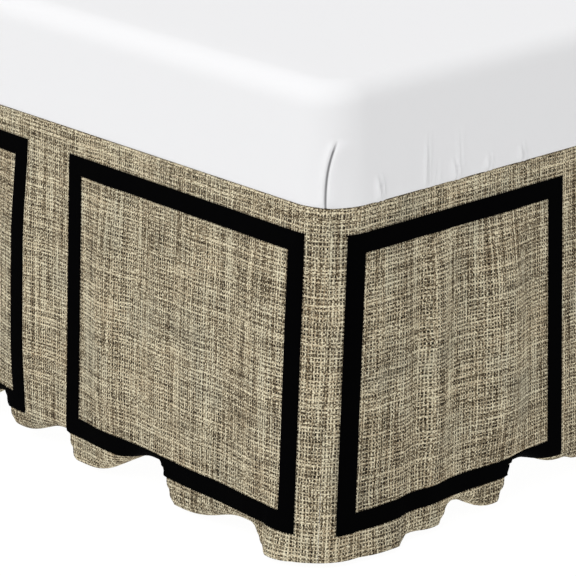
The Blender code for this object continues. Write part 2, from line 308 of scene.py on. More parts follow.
def make_woven_threads():
    """A plain weave: which thread shows at a place, how high it stands, and how it differs."""
    group = bpy.data.node_groups.new("Woven threads", "ShaderNodeTree")
    sockets = (
        ("Vector", "INPUT", "NodeSocketVector"),
        ("Warp Pitch", "INPUT", "NodeSocketFloat"),
        ("Weft Pitch", "INPUT", "NodeSocketFloat"),
        ("Wander", "INPUT", "NodeSocketFloat"),
        ("Uneven Pitch", "INPUT", "NodeSocketFloat"),
        ("Thread Width", "INPUT", "NodeSocketFloat"),
        ("Slub Swell", "INPUT", "NodeSocketFloat"),
        ("Uneven Holes", "INPUT", "NodeSocketFloat"),
        ("Height", "OUTPUT", "NodeSocketFloat"),
        ("Gap", "OUTPUT", "NodeSocketFloat"),
        ("Slub", "OUTPUT", "NodeSocketFloat"),
        ("Fleck", "OUTPUT", "NodeSocketFloat"),
        ("Warp Over", "OUTPUT", "NodeSocketFloat"),
    )
    for name, way, kind in sockets:
        group.interface.new_socket(name, in_out=way, socket_type=kind)
    given = group.nodes.new("NodeGroupInput").outputs
    results = group.nodes.new("NodeGroupOutput").inputs

    def work(operation, *values):
        return add_node(
            group, "ShaderNodeMath", dict(enumerate(values)), operation=operation
        ).outputs[0]

    # The threads wander a little in the cloth, and some lie closer together than others.
    drift = add_node(group, "ShaderNodeTexNoise", {"Vector": given["Vector"], "Scale": 28.0})
    drift_from_none = add_node(
        group, "ShaderNodeVectorMath",
        {0: drift.outputs["Color"], 1: (0.5, 0.5, 0.5)}, operation="SUBTRACT",
    ).outputs[0]
    moved = add_node(
        group, "ShaderNodeVectorMath", {0: drift_from_none, "Scale": given["Wander"]},
        operation="SCALE",
    ).outputs[0]
    place = add_node(group, "ShaderNodeVectorMath", {0: given["Vector"], 1: moved}).outputs[0]
    parts = add_node(group, "ShaderNodeSeparateXYZ", {0: place}).outputs

    def thread_count(distance, pitch, start):
        count = work("DIVIDE", distance, pitch)
        crowding = add_node(
            group, "ShaderNodeTexNoise", {"W": work("ADD", work("MULTIPLY", count, 0.31), start)},
            noise_dimensions="1D",
        ).outputs["Fac"]
        shift = work("MULTIPLY", work("SUBTRACT", crowding, 0.5), given["Uneven Pitch"])
        return work("ADD", count, shift)

    warp = thread_count(parts["X"], given["Warp Pitch"], 3.0)
    weft = thread_count(parts["Y"], given["Weft Pitch"], 57.0)
    warp_number, weft_number = work("FLOOR", warp), work("FLOOR", weft)

    def slub(number, along, start):
        """How thick and light a thread is at a place along it, from 0 to 1."""
        spot = add_node(group, "ShaderNodeCombineXYZ", {
            0: work("MULTIPLY", number, 7.31), 1: work("MULTIPLY", along, 0.07), 2: start,
        }).outputs[0]
        return add_noise(group, spot, 1.0, detail=4.0)

    def roundness(count, own_slub):
        """1 on a thread's middle and 0 or less at its edges."""
        swell = work("MULTIPLY", work("SUBTRACT", own_slub, 0.5), given["Slub Swell"])
        width = work("ADD", given["Thread Width"], swell)
        from_middle = work("SUBTRACT", work("FRACT", count), 0.5)
        part = work("DIVIDE", work("MULTIPLY", from_middle, 2.0), work("MAXIMUM", width, 0.2))
        return work("SUBTRACT", 1.0, work("MULTIPLY", part, part))

    def rise(along, other_number, way):
        wave = work("SINE", work("MULTIPLY", work("ADD", along, other_number), pi))
        return work("ADD", work("MULTIPLY", wave, 0.3 * way), 0.7)

    warp_slub = slub(warp_number, weft, 0.0)
    weft_slub = slub(weft_number, warp, 11.0)
    warp_height = work("MULTIPLY", roundness(warp, warp_slub), rise(weft, warp_number, 1))
    weft_height = work("MULTIPLY", roundness(weft, weft_slub), rise(warp, weft_number, -1))
    warp_over = work("GREATER_THAN", warp_height, weft_height)
    height = work("MAXIMUM", work("MAXIMUM", warp_height, weft_height), 0.0)
    # Gap is 1 low between the threads and down their round edges: it marks where the materials paint
    # the threads' shade, and is less at some holes.
    gap = add_node(
        group, "ShaderNodeMapRange", {0: height, 1: 0.0, 2: 0.50, 3: 1.0, 4: 0.0},
        interpolation_type="SMOOTHSTEP",
    ).outputs[0]
    hole = add_node(group, "ShaderNodeCombineXYZ", {
        0: work("FLOOR", work("ADD", warp, 0.5)), 1: work("FLOOR", work("ADD", weft, 0.5)),
    }).outputs[0]
    openness = add_node(
        group, "ShaderNodeTexWhiteNoise", {"Vector": hole}, noise_dimensions="2D"
    ).outputs["Value"]
    open_share = work("SUBTRACT", 1.0, work("MULTIPLY", openness, given["Uneven Holes"]))
    gap = work("MULTIPLY", gap, open_share)
    shown_slub = add_node(
        group, "ShaderNodeMix", {0: warp_over, 2: weft_slub, 3: warp_slub}, data_type="FLOAT"
    ).outputs[0]
    crossing = add_node(
        group, "ShaderNodeCombineXYZ", {0: warp_number, 1: weft_number, 2: warp_over}
    ).outputs[0]
    fleck = add_node(
        group, "ShaderNodeTexWhiteNoise", {"Vector": crossing}, noise_dimensions="3D"
    ).outputs["Value"]
    for name, value in (
        ("Height", height), ("Gap", gap), ("Slub", shown_slub), ("Fleck", fleck),
        ("Warp Over", warp_over),
    ):
        group.links.new(value, results[name])
    return group


woven_threads = make_woven_threads()


def add_weave(
    tree, place, warp_pitch, weft_pitch, width, wander=0.0, uneven=0.0, swell=0.0, holes=0.0
):
    weave = add_node(tree, "ShaderNodeGroup", node_tree=woven_threads)
    tree.links.new(place, weave.inputs["Vector"])
    weave.inputs["Warp Pitch"].default_value = warp_pitch
    weave.inputs["Weft Pitch"].default_value = weft_pitch
    weave.inputs["Wander"].default_value = wander
    weave.inputs["Uneven Pitch"].default_value = uneven
    weave.inputs["Thread Width"].default_value = width
    weave.inputs["Slub Swell"].default_value = swell
    weave.inputs["Uneven Holes"].default_value = holes
    return weave.outputs


def work_out(tree, operation, *values):
    sockets = dict(enumerate(values))
    return add_node(tree, "ShaderNodeMath", sockets, operation=operation).outputs[0]


def blend_colours(tree, share, first, second, way="MIX"):
    sockets = {0: share, 6: first, 7: second}
    return add_node(
        tree, "ShaderNodeMix", sockets, data_type="RGBA", blend_type=way
    ).outputs[2]


def cloth_place(tree):
    """The place on the cloth as it lay flat, in metres."""
    return add_node(tree, "ShaderNodeUVMap", uv_map="cloth").outputs["UV"]


def across_the_bed(tree):
    """The place on the object, in metres, for cloth that is cut straight to the bed's sides."""
    return add_node(tree, "ShaderNodeTexCoord").outputs["Object"]


ticking, tree, shader = new_material("ticking_finish")
own_place = across_the_bed(tree)
threads = add_weave(tree, own_place, TICKING_THREAD, TICKING_THREAD, width=0.9)
along = add_node(tree, "ShaderNodeSeparateXYZ", {0: own_place}).outputs["X"]
repeat = work_out(tree, "FRACT", work_out(tree, "DIVIDE", along, TICKING_REPEAT))
stripe = work_out(tree, "LESS_THAN", repeat, TICKING_STRIPE_SHARE)
ground = blend_colours(tree, stripe, TICKING_WHITE, TICKING_STRIPE)
shade = work_out(tree, "MULTIPLY", threads["Gap"], 0.4)
tree.links.new(
    blend_colours(tree, shade, ground, TICKING_SHADE), shader.inputs["Base Color"]
)
tree.links.new(add_bump(tree, threads["Height"], 0.0003), shader.inputs["Normal"])
shader.inputs["Roughness"].default_value = 0.85

foundation_cover = around_the_bed(
    "foundation_cover", foundation_profile(), COVER_RIM, head_radius=HEAD_CORNER_RADIUS
)
foundation_cover.data.materials.append(ticking)
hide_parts("foundation")
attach(foundation_cover, "root")


# ---------------------------------------------------------------------------------------------
# The deck. Plain off-white platform cloth between foundation and mattress, which holds the
# skirt in place. Only its edge at the head can be seen, so it stays the frame's own node.
# ---------------------------------------------------------------------------------------------

DECK_CREAM = (0.70, 0.67, 0.60, 1)
# The painted shade between the deck's threads.
DECK_GAP_SHADE = (0.36, 0.34, 0.30, 1)
DECK_THREAD = 0.0016

deck_cloth, tree, shader = new_material("deck_finish")
threads = add_weave(
    tree, across_the_bed(tree), DECK_THREAD, DECK_THREAD, width=0.85, uneven=0.4
)
tree.links.new(
    blend_colours(tree, threads["Gap"], DECK_CREAM, DECK_GAP_SHADE), shader.inputs["Base Color"]
)
tree.links.new(add_bump(tree, threads["Height"], 0.0003), shader.inputs["Normal"])
shader.inputs["Roughness"].default_value = 0.9
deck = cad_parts["deck"]
deck.data.materials.clear()
deck.data.materials.append(deck_cloth)


# ---------------------------------------------------------------------------------------------
# The drops. Panels of coarse tweed, woven from cream, tan, olive, rust and brown slub yarns. A
# lip is sewn to the deck, seam allowances are turned in at the foot corners, and the lower edge
# is hemmed. Each hangs in soft folds against the foundation, and its hem ripples and turns under.
# ---------------------------------------------------------------------------------------------

SKIRT_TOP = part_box("drop_foot")[1].z
HEM_CLEARANCE = 0.008
EDGE_BEND = 0.003
SKIRT_DROP = SKIRT_TOP - HEM_CLEARANCE
FALL = SKIRT_DROP - EDGE_BEND
DROP_CLOTH = 0.0015
SEAM_GAP = 0.0002
LIP_WIDTH = 0.018
FOOT_FLARE = 0.019
SWAY_HALF_WAVE = 0.360
SWAY_FADE = 0.600
TURN = radians(84)
TURN_LENGTH = 0.024
KICK_HEIGHT = 0.120
HEM_TURN = 0.0014
HEM_DEPTH = 0.022
SEAM_ALLOWANCE = 0.0022
SEAM_ALONG = CORNER_RADIUS * (1 - pi / 4)
FOOT_FRAMES = 3
SIDE_FRAMES = 5
FRAME_GAP = 0.076
SIDE_FIRST_MARGIN = 0.028

# The mesh: its columns, its rows on the flat and where the hem ripples, and how far that goes up.
FOOT_COLUMNS = 0.0055
SIDE_COLUMNS = 0.0065
FLAT_ROWS = 0.020
RIPPLE_ROWS = 0.0035
RIPPLE_HEIGHT = 0.080
HIDDEN_ROWS = 0.0075
BEND_ROWS = 0.0012
HEM_ROWS = 0.0011
SEAM_COLUMN = 0.0006
FACE_STEP = 0.0005

# A row for each crest and valley of the hem, in millimetres: how far it is from the foot corner,
# and how much of the cloth has turned under there. A crest that kicks out instead has its reach,
# with a minus sign.
Fold = namedtuple("Fold", "along tuck")
FOOT_FOLDS = (
    Fold(11, 8),
    Fold(66, -9),
    Fold(111, 33),
    Fold(229, 9),
    Fold(262, 57),
    Fold(402, 6),
    Fold(426, 42),
    Fold(517, 21),
    Fold(541, 56),
    Fold(658, -5),
    Fold(745, 40),
    Fold(811, 8),
    Fold(850, 46),
    Fold(930, -4),
    Fold(972, 52),
    Fold(1060, 6),
    Fold(1104, 44),
    Fold(1180, -3),
    Fold(1240, 38),
    Fold(1304, -10),
    Fold(1361, 8),
)
SIDE_FOLDS = (
    Fold(11, 8),
    Fold(100, -8),
    Fold(125, 14),
    Fold(157, 8),
    Fold(181, 33),
    Fold(236, 10),
    Fold(261, 57),
    Fold(345, 34),
    Fold(369, 28),
    Fold(440, -3),
    Fold(577, 38),
    Fold(650, 2),
    Fold(692, 50),
    Fold(790, 10),
    Fold(826, 40),
    Fold(890, -6),
    Fold(934, 52),
    Fold(1030, 6),
    Fold(1066, 44),
    Fold(1150, -4),
    Fold(1200, 54),
    Fold(1300, 8),
    Fold(1340, 38),
    Fold(1430, -4),
    Fold(1482, 55),
    Fold(1580, 6),
    Fold(1624, 42),
    Fold(1716, -9),
    Fold(1770, 46),
    Fold(1850, 4),
    Fold(1905, 8),
)

# The soft folds that a panel hangs in, in millimetres: how far each crest and valley is from the
# foot corner, and how far out it stands. A valley lies against the foundation. The folds grow over
# the first stretch below the skirt's top, and calm down again towards the hem.
Drape = namedtuple("Drape", "along reach")
FOOT_DRAPES = (
    Drape(34, 0.0),
    Drape(95, 5.0),
    Drape(158, 0.0),
    Drape(205, 3.5),
    Drape(240, 1.0),
    Drape(262, 2.5),
    Drape(297, 0.0),
    Drape(352, 7.0),
    Drape(398, 0.0),
    Drape(440, 0.0),
    Drape(505, 7.0),
    Drape(560, 0.0),
    Drape(640, 8.0),
    Drape(715, 1.0),
    Drape(770, 7.0),
    Drape(835, 0.0),
    Drape(905, 6.0),
    Drape(950, 0.0),
    Drape(1035, 8.0),
    Drape(1085, 0.0),
    Drape(1150, 7.0),
    Drape(1225, 1.0),
    Drape(1290, 6.0),
    Drape(1338, 0.0),
)
SIDE_DRAPES = (
    Drape(34, 0.0),
    Drape(56, 0.0),
    Drape(72, 4.0),
    Drape(86, 3.0),
    Drape(104, 5.0),
    Drape(126, 0.0),
    Drape(148, 9.0),
    Drape(181, 0.0),
    Drape(245, 12.0),
    Drape(294, 0.0),
    Drape(345, 0.0),
    Drape(395, 9.0),
    Drape(440, 0.0),
    Drape(520, 10.0),
    Drape(565, 1.0),
    Drape(610, 8.0),
    Drape(665, 0.0),
    Drape(735, 11.0),
    Drape(775, 3.0),
    Drape(815, 6.0),
    Drape(870, 0.0),
    Drape(925, 9.0),
    Drape(975, 0.0),
    Drape(1050, 11.0),
    Drape(1095, 0.0),
    Drape(1160, 9.0),
    Drape(1200, 2.0),
    Drape(1245, 6.0),
    Drape(1310, 0.0),
    Drape(1375, 11.0),
    Drape(1425, 0.0),
    Drape(1490, 8.0),
    Drape(1535, 0.0),
    Drape(1600, 10.0),
    Drape(1650, 1.0),
    Drape(1705, 8.0),
    Drape(1755, 0.0),
    Drape(1825, 9.0),
    Drape(1865, 1.0),
    Drape(1905, 0.0),
)
DRAPE_GROWN = 0.160
DRAPE_CALM = 0.240
DRAPE_AT_HEM = 0.2

# The tweed's yarns, from the deepest shade between the threads to the brightest slub.
YARN_GAP = (0.004, 0.003, 0.002, 1)
YARN_BROWN = (0.055, 0.038, 0.020, 1)
YARN_TAN = (0.285, 0.228, 0.140, 1)
YARN_SAND = (0.520, 0.440, 0.300, 1)
YARN_CREAM = (0.900, 0.820, 0.590, 1)
YARN_OLIVE = (0.270, 0.272, 0.215, 1)
YARN_RUST = (0.300, 0.180, 0.080, 1)
TWEED_WARP, TWEED_WEFT = 0.0034, 0.0042
TWEED_THREAD = 0.565
TWEED_SWELL = 0.8
TWEED_WANDER = 0.004
TWEED_UNEVEN = 0.6
TWEED_HOLES = 0.35
FIBRE_WEFT = (400.0, 1100.0, 1.0)
FIBRE_WARP = (1100.0, 400.0, 1.0)
TWEED_RELIEF = 0.0006
WARP_ZONE = (260.0, 7.0, 1.0)
WEFT_ZONE = (7.0, 220.0, 1.0)
TWEED_PATCH = 14.0
PATCH_WEIGHT = 1.6
OLIVE_FROM, OLIVE_FULL, OLIVE_MOST, OLIVE_DYE = 0.55, 0.85, 0.55, 0.5
RUST_FROM, RUST_FULL, RUST_MOST, RUST_DYE = 0.60, 0.95, 0.45, 0.6


def hang(tuck, fallen):
    """How far in and how far down the cloth has come, where so much of it turns under."""
    if tuck <= 0:
        kicked = max(0.0, 1 - (FALL - fallen) / KICK_HEIGHT)
        return tuck * kicked**3, fallen
    turned = fallen - (FALL - tuck)
    if turned <= 0:
        return 0.0, fallen
    radius = TURN_LENGTH / TURN
    angle = min(turned, TURN_LENGTH) / radius
    flat = max(0.0, turned - TURN_LENGTH)
    inward = radius * (1 - cos(angle)) + flat * sin(TURN)
    down = FALL - tuck + radius * sin(angle) + flat * cos(TURN)
    return inward, down


def ease(part):
    """From 0 to 1, level at both ends and steep between them."""
    return part**3 * (10 - 15 * part + 6 * part * part)


def table_at(rows, along):
    """A table's second column at a place along its wall, in metres, eased between its rows."""
    place = along * 1000
    before = rows[0]
    for after in rows[1:]:
        if place < after[0]:
            part = max(0.0, (place - before[0]) / (after[0] - before[0]))
            return (before[1] + (after[1] - before[1]) * ease(part)) / 1000
        before = after
    return before[1] / 1000


Wall = namedtuple(
    "Wall", "name length start along out rounds_end folds drapes frames columns flat_from"
)


def around(wall, along):
    """The place on the bed's rounded outline, and the way out of it there."""
    from_end = wall.length - along
    near = along if along < CORNER_RADIUS or not wall.rounds_end else from_end
    if near >= CORNER_RADIUS:
        return wall.start + wall.along * along, wall.out
    angle = (CORNER_RADIUS - near) / CORNER_RADIUS
    way = wall.along if near is along else -wall.along
    corner = wall.start if near is along else wall.start + wall.along * wall.length
    centre = corner + (way - wall.out) * CORNER_RADIUS
    out = wall.out * cos(angle) - way * sin(angle)
    return centre + out * CORNER_RADIUS, out


def sway(from_foot):
    """The share of the foot's flare with which the hem is drawn towards the foot."""
    return cos(pi * from_foot / SWAY_HALF_WAVE) * exp(-((from_foot / SWAY_FADE) ** 2))


def face_point(wall, along, fallen):
    """A point of the drop's face: how far along its wall, and how far down from the bend."""
    place, out = around(wall, along)
    if fallen <= 0:
        over_edge = min(fallen + EDGE_BEND * pi / 2, 0.0)
        angle = max(fallen, -EDGE_BEND * pi / 2) / EDGE_BEND
        height = SKIRT_TOP - EDGE_BEND * (1 + sin(angle))
        reach = over_edge - EDGE_BEND * (1 - cos(angle))
        return place + out * reach + Vector((0, 0, height))
    inward, down = hang(table_at(wall.folds, along), fallen)
    grown = ease(min(1.0, fallen / DRAPE_GROWN))
    calmed = ease(max(0.0, fallen - DRAPE_CALM) / (FALL - DRAPE_CALM))
    inward -= table_at(wall.drapes, along) * grown * (1 - (1 - DRAPE_AT_HEM) * calmed)
    point = place - out * inward + Vector((0, 0, SKIRT_TOP - EDGE_BEND - down))
    point.y -= FOOT_FLARE * (fallen / FALL) * sway(place.y - FOOT_Y)
    return point


def face_normal(wall, along, fallen):
    """The way out of the drop's face, from the points around it."""
    step = FACE_STEP
    across = face_point(wall, along + step, fallen) - face_point(wall, along - step, fallen)
    down = face_point(wall, along, fallen + step) - face_point(wall, along, fallen - step)
    normal = across.cross(down).normalized()
    inside_out = wall.along.cross(Vector((0, 0, -1))).dot(wall.out) < 0
    return -normal if inside_out else normal


def spread(start, end, spacing):
    """Evenly spread places from start up to end, which is left out."""
    count = max(1, round((end - start) / spacing))
    return [start + (end - start) * step / count for step in range(count)]


def drop_rows():
    bend = EDGE_BEND * pi / 2
    ripple = FALL - RIPPLE_HEIGHT
    turned = FALL + HEM_TURN * pi
    return (
        spread(EDGE_BEND - LIP_WIDTH - bend, -bend, HIDDEN_ROWS)
        + spread(-bend, 0, BEND_ROWS)
        + spread(0, ripple, FLAT_ROWS)
        + spread(ripple, FALL, RIPPLE_ROWS)
        + spread(FALL, turned, HEM_ROWS)
        + spread(turned, turned + HEM_DEPTH, HIDDEN_ROWS)
        + [turned + HEM_DEPTH]
    )


def drop_face(wall, along, fallen):
    """A point on the side of the drop's cloth that is its face, also where it turns up inside."""
    if fallen <= FALL:
        return face_point(wall, along, fallen)
    angle = min((fallen - FALL) / HEM_TURN, pi)
    level = FALL - max(0.0, fallen - FALL - HEM_TURN * pi)
    down = face_point(wall, along, level) - face_point(wall, along, level - FACE_STEP)
    point = face_point(wall, along, level) + down.normalized() * (HEM_TURN * sin(angle))
    depth = (HEM_TURN + DROP_CLOTH / 2) * (1 - cos(angle))
    return point - face_normal(wall, along, level) * depth


def make_drop(wall):
    """A wall's panel: a grid on its face, with its hem and its seam allowances turned in."""
    first = SEAM_ALONG + SEAM_GAP / 2
    last = wall.length - first if wall.rounds_end else wall.length
    columns = [first] + spread(first + SEAM_COLUMN, last - SEAM_COLUMN, wall.columns)
    columns += [last - SEAM_COLUMN, last]
    allowance = [SEAM_ALLOWANCE, SEAM_ALLOWANCE / 2, SEAM_COLUMN]
    before = len(allowance)
    after = before if wall.rounds_end else 0
    across = before + len(columns) + after
    rows = drop_rows()
    bm = bmesh.new()
    bmesh.ops.create_grid(bm, x_segments=across - 1, y_segments=len(rows) - 1, size=1)
    uv = bm.loops.layers.uv.new("cloth")
    flat = {}
    uncut = []
    for vert in bm.verts:
        row, column = divmod(vert.index, across)
        fallen = rows[row]
        place = min(max(column - before, 0), len(columns) - 1)
        turned_in = 0.0
        if column < before:
            turned_in = allowance[column]
        elif column >= across - after:
            turned_in = allowance[across - 1 - column]
        vert.co = drop_face(wall, columns[place], fallen)
        shift = -turned_in if column < before else turned_in
        across_cloth = columns[place] + shift
        if wall is not right_wall:
            across_cloth = -across_cloth
        flat[vert.index] = (wall.flat_from + across_cloth, -fallen)
        if turned_in:
            vert.co -= around(wall, columns[place])[1] * turned_in
            if not 0 < fallen < FALL - HEM_DEPTH:
                uncut.append(vert)
    for face in bm.faces:
        for loop in face.loops:
            loop[uv].uv = flat[loop.vert.index]
    if wall.along.cross(Vector((0, 0, -1))).dot(wall.out) < 0:
        bmesh.ops.reverse_faces(bm, faces=bm.faces[:])
    bmesh.ops.delete(bm, geom=uncut, context="VERTS")
    piece = add_piece(f"{wall.name}_drop", bm)
    thickness = piece.modifiers.new("Cloth thickness", "SOLIDIFY")
    thickness.thickness = DROP_CLOTH
    thickness.offset = -1.0
    thickness.use_even_offset = True
    piece.data.materials.append(tweed)
    return piece


tweed, tree, shader = new_material("tweed_finish")
flat_place = cloth_place(tree)
threads = add_weave(
    tree, flat_place, TWEED_WARP, TWEED_WEFT, TWEED_THREAD, TWEED_WANDER, TWEED_UNEVEN,
    TWEED_SWELL, TWEED_HOLES,
)
fibre = add_node(tree, "ShaderNodeMix", {
    0: threads["Warp Over"],
    2: add_noise(tree, stretch(tree, flat_place, FIBRE_WEFT), 1.0, detail=0.0),
    3: add_noise(tree, stretch(tree, flat_place, FIBRE_WARP), 1.0, detail=0.0),
}, data_type="FLOAT").outputs[0]
warp_zone = add_noise(tree, stretch(tree, flat_place, WARP_ZONE), 1.0, detail=2.0)
weft_zone = add_noise(tree, stretch(tree, flat_place, WEFT_ZONE), 1.0, detail=2.0)
patch = add_noise(tree, flat_place, TWEED_PATCH, detail=2.0)


def weigh(*pairs):
    """The middle shade, plus each value's difference from its own middle times its weight."""
    total = 0.5
    for value, weight in pairs:
        share = work_out(tree, "MULTIPLY", work_out(tree, "SUBTRACT", value, 0.5), weight)
        total = work_out(tree, "ADD", total, share)
    return total


shade = weigh(
    (threads["Slub"], 0.8), (threads["Fleck"], 0.25), (fibre, 2.2),
    (warp_zone, 1.25), (weft_zone, 0.95),
)
yarn = colour_between(tree, shade, [
    (0.12, YARN_BROWN), (0.92, YARN_CREAM), (0.34, YARN_TAN), (0.60, YARN_SAND),
])
olive_share = add_node(tree, "ShaderNodeMapRange", {
    0: weigh((patch, PATCH_WEIGHT), (warp_zone, 1.0), (threads["Slub"], 0.8)),
    1: OLIVE_FROM, 2: OLIVE_FULL, 4: OLIVE_MOST,
}).outputs[0]
rust_share = add_node(tree, "ShaderNodeMapRange", {
    0: weigh((patch, -PATCH_WEIGHT), (weft_zone, 1.0), (threads["Fleck"], 0.5)),
    1: RUST_FROM, 2: RUST_FULL, 4: RUST_MOST,
}).outputs[0]
yarn = blend_colours(tree, olive_share, yarn, blend_colours(tree, OLIVE_DYE, yarn, YARN_OLIVE))
yarn = blend_colours(tree, rust_share, yarn, blend_colours(tree, RUST_DYE, yarn, YARN_RUST))
tweed_colour = blend_colours(tree, threads["Gap"], yarn, YARN_GAP)
tree.links.new(tweed_colour, shader.inputs["Base Color"])
tree.links.new(add_bump(tree, threads["Height"], TWEED_RELIEF), shader.inputs["Normal"])
shader.inputs["Roughness"].default_value = 0.95
shader.inputs["Specular IOR Level"].default_value = 0.12

foot_pitch = BED_WIDTH / FOOT_FRAMES
side_pitch = BED_LENGTH / SIDE_FRAMES
foot_starts = [foot_pitch * index + FRAME_GAP / 2 for index in range(FOOT_FRAMES)]
side_starts = [side_pitch * index + SIDE_FIRST_MARGIN for index in range(SIDE_FRAMES)]
foot_frames = [(start, start + foot_pitch - FRAME_GAP) for start in foot_starts]
side_frames = [(start, start + side_pitch - FRAME_GAP) for start in side_starts]
away = [fold._replace(along=BED_LENGTH * 1000 - fold.along) for fold in SIDE_FOLDS[::-1]]
left_folds = [SIDE_FOLDS[0], *away[1:-1], SIDE_FOLDS[-1]]
away = [drape._replace(along=BED_LENGTH * 1000 - drape.along) for drape in SIDE_DRAPES[::-1]]
left_drapes = [SIDE_DRAPES[0], *away[1:-1], SIDE_DRAPES[-1]]
right_foot = Vector((BED_WIDTH / 2, FOOT_Y, 0))
left_foot = Vector((-BED_WIDTH / 2, FOOT_Y, 0))
foot_wall = Wall(
    "foot", BED_WIDTH, right_foot, Vector((-1, 0, 0)), Vector((0, -1, 0)), True, FOOT_FOLDS,
    FOOT_DRAPES, foot_frames, FOOT_COLUMNS, 0.0,
)
right_wall = Wall(
    "right", BED_LENGTH, right_foot, Vector((0, 1, 0)), Vector((1, 0, 0)), False, SIDE_FOLDS,
    SIDE_DRAPES, side_frames, SIDE_COLUMNS, 0.0,
)
left_wall = Wall(
    "left", BED_LENGTH, left_foot, Vector((0, 1, 0)), Vector((-1, 0, 0)), False, left_folds,
    left_drapes, side_frames, SIDE_COLUMNS, -BED_WIDTH,
)
drops = {wall.name: make_drop(wall) for wall in (foot_wall, right_wall, left_wall)}


# ---------------------------------------------------------------------------------------------
# The tape frames. Flat black ribbed tape, mitred at the four corners of each panel and sewn
# down along both edges.
# ---------------------------------------------------------------------------------------------

TAPE_WIDTH = 0.021
TAPE_CLOTH = 0.0010
TAPE_GAP = 0.0005
FRAME_TOP = 0.028
FRAME_ABOVE_HEM = 0.030
TAPE_ACROSS = (0.0, 0.05, 0.15, 0.3, 0.5, 0.7, 0.85, 0.95, 1.0)
TAPE_EDGE_DROP = 0.0003
TAPE_STEP = 0.006
TAPE_BLACK = (0.0007, 0.0007, 0.0008, 1)
# The rib crests are painted lighter than the black, in faint streaks: painted sheen.
TAPE_RIB_SHEEN = (0.0014, 0.0014, 0.0016, 1)
TAPE_RIB_PITCH = 0.0012
STITCH_LENGTH = 0.0026
STITCH_FROM_EDGE = 0.0017
STITCH_HALF_WIDTH = 0.0004
STITCH_SHARE = 0.7
STITCH_SUNK = 2.0
TAPE_SHEEN_STREAKS = (90.0, 4.0, 1.0)
RIB_RELIEF = 0.00012


def make_frame(wall, number):
    """Four mitred lengths of tape, whose ends meet at the corners of a panel."""
    start, end = wall.frames[number]
    top, bottom = FRAME_TOP - EDGE_BEND, FALL - FRAME_ABOVE_HEM
    inner = TAPE_WIDTH
    outside = [(start, top), (end, top), (end, bottom), (start, bottom)]
    inside = [
        (start + inner, top + inner), (end - inner, top + inner),
        (end - inner, bottom - inner), (start + inner, bottom - inner),
    ]
    bm = bmesh.new()
    uv = bm.loops.layers.uv.new("cloth")
    walked = 0.0
    for leg in range(4):
        here, there = Vector(outside[leg]), Vector(outside[(leg + 1) % 4])
        near, far = Vector(inside[leg]), Vector(inside[(leg + 1) % 4])
        length = (there - here).length
        steps = round(length / TAPE_STEP)
        grid = bmesh.ops.create_grid(
            bm, x_segments=steps, y_segments=len(TAPE_ACROSS) - 1, size=1
        )["verts"]
        flat = {}
        for index, vert in enumerate(grid):
            row, column = divmod(index, steps + 1)
            over = TAPE_ACROSS[row]
            share = column / steps
            spot = here.lerp(there, share).lerp(near.lerp(far, share), over)
            dip = TAPE_EDGE_DROP / 2 if row in (0, len(TAPE_ACROSS) - 1) else 0.0
            raised = TAPE_GAP + TAPE_CLOTH / 2 - dip
            vert.co = face_point(wall, *spot) + face_normal(wall, *spot) * raised
            flat[vert] = (
                walked + (spot - here).dot((there - here).normalized()), over * TAPE_WIDTH
            )
        for vert in grid:
            for loop in vert.link_loops:
                loop[uv].uv = flat[vert]
        walked += length
    bmesh.ops.remove_doubles(bm, verts=bm.verts, dist=MERGED_WITHIN)
    bmesh.ops.recalc_face_normals(bm, faces=bm.faces[:])
    piece = add_piece(f"{wall.name}_frame_{number + 1}", bm)
    thickness = piece.modifiers.new("Tape thickness", "SOLIDIFY")
    thickness.thickness = TAPE_CLOTH
    thickness.offset = 0.0
    piece.data.materials.append(tape)
    return piece


tape, tree, shader = new_material("tape_finish")
flat_place = cloth_place(tree)
parts = add_node(tree, "ShaderNodeSeparateXYZ", {0: flat_place}).outputs
rib = work_out(tree, "SINE", work_out(tree, "MULTIPLY", parts["X"], 2 * pi / TAPE_RIB_PITCH))
rib = work_out(tree, "ADD", work_out(tree, "MULTIPLY", rib, 0.5), 0.5)
# fade marks the faint streaks of painted sheen on the rib crests.
fade = add_noise(tree, stretch(tree, flat_place, TAPE_SHEEN_STREAKS), 1.0, detail=2.0)
from_edge = work_out(tree, "PINGPONG", parts["Y"], TAPE_WIDTH / 2)
off_line = work_out(
    tree, "ABSOLUTE", work_out(tree, "SUBTRACT", from_edge, STITCH_FROM_EDGE)
)
on_line = work_out(tree, "LESS_THAN", off_line, STITCH_HALF_WIDTH)
stitch_part = work_out(tree, "FRACT", work_out(tree, "DIVIDE", parts["X"], STITCH_LENGTH))
stitch = work_out(
    tree, "MULTIPLY", on_line, work_out(tree, "LESS_THAN", stitch_part, STITCH_SHARE)
)
# The tape's black, painted lighter on the rib crests where the streaks of painted sheen fall.
black = blend_colours(tree, work_out(tree, "MULTIPLY", rib, fade), TAPE_BLACK, TAPE_RIB_SHEEN)
tree.links.new(black, shader.inputs["Base Color"])
relief = work_out(tree, "SUBTRACT", rib, work_out(tree, "MULTIPLY", stitch, STITCH_SUNK))
tree.links.new(add_bump(tree, relief, RIB_RELIEF), shader.inputs["Normal"])
shader.inputs["Roughness"].default_value = 0.9
shader.inputs["Specular IOR Level"].default_value = 0.01

for wall in (foot_wall, right_wall, left_wall):
    frames = [make_frame(wall, number) for number in range(len(wall.frames))]
    for number, piece in enumerate(frames, 1):
        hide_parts(f"tape_{wall.name}_{number}")
        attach(piece, "root")
    drop = drops[wall.name]
    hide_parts(f"drop_{wall.name}")
    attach(drop, "root")


# ---------------------------------------------------------------------------------------------
# The mattress. A slab of foam in the same ticking as the foundation, laid on the deck. The
# fitted sheet hides it, so it stays the frame's own node.
# ---------------------------------------------------------------------------------------------

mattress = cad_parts["mattress"]
mattress.data.materials.clear()
mattress.data.materials.append(ticking)


